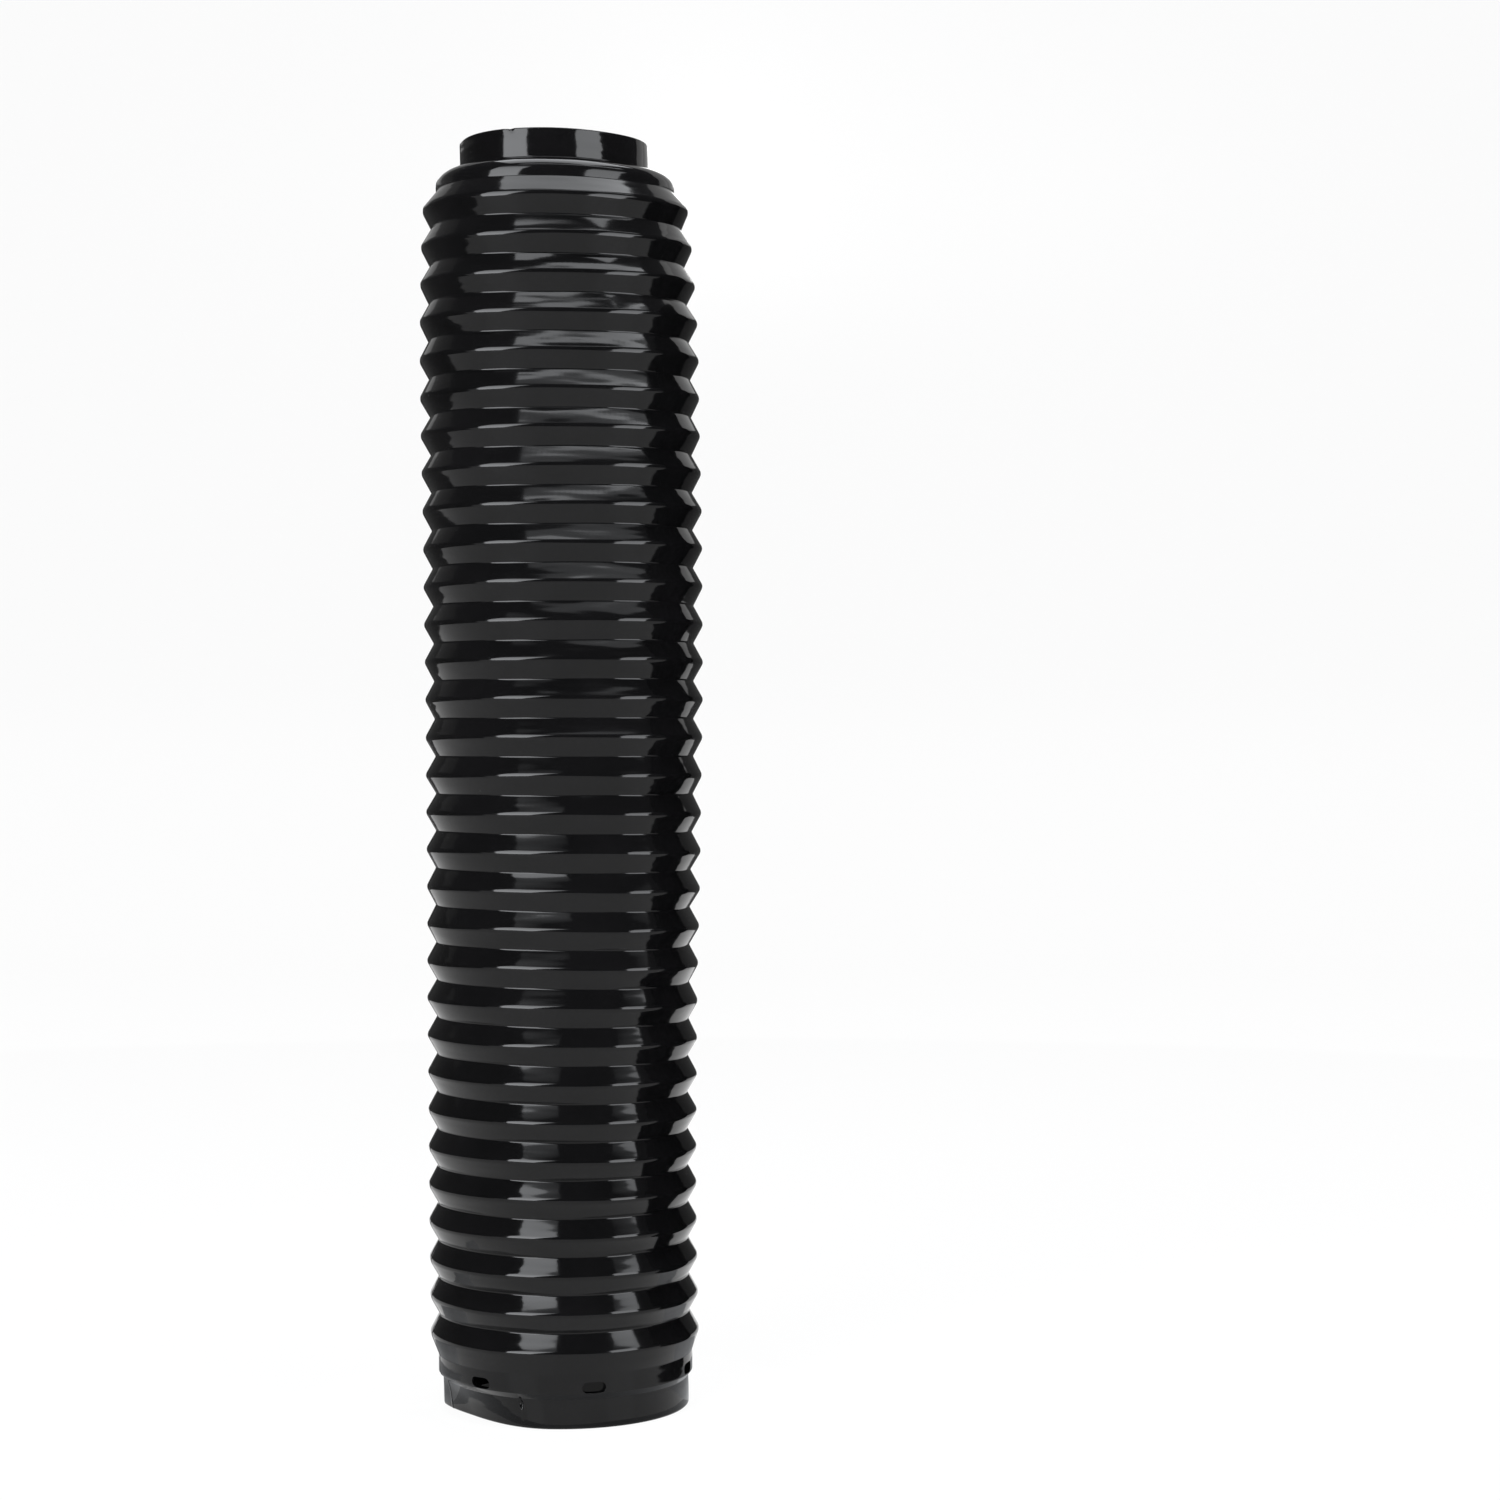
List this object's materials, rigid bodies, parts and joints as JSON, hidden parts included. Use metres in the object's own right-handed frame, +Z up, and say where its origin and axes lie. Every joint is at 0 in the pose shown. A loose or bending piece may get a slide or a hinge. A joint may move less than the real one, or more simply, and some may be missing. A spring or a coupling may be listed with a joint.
{
  "type": "fork gaiter",
  "caption": "Long black rubber bellows sleeve for a motorbike fork leg, with a plain upper collar and a wider stepped lower cuff with small vent slots.",
  "frame": {"origin": "centre of the lower rim, on the surface the gaiter stands on", "axes": "+Z up the bore towards the narrow collar, -Y the side that the picture shows"},
  "size_m": [0.0674, 0.0674, 0.3043],
  "materials": {
    "black_rubber": "smooth glossy moulded black rubber"
  },
  "bodies": {
    "root": {"fork_gaiter": "black_rubber"}
  },
  "joints": []
}
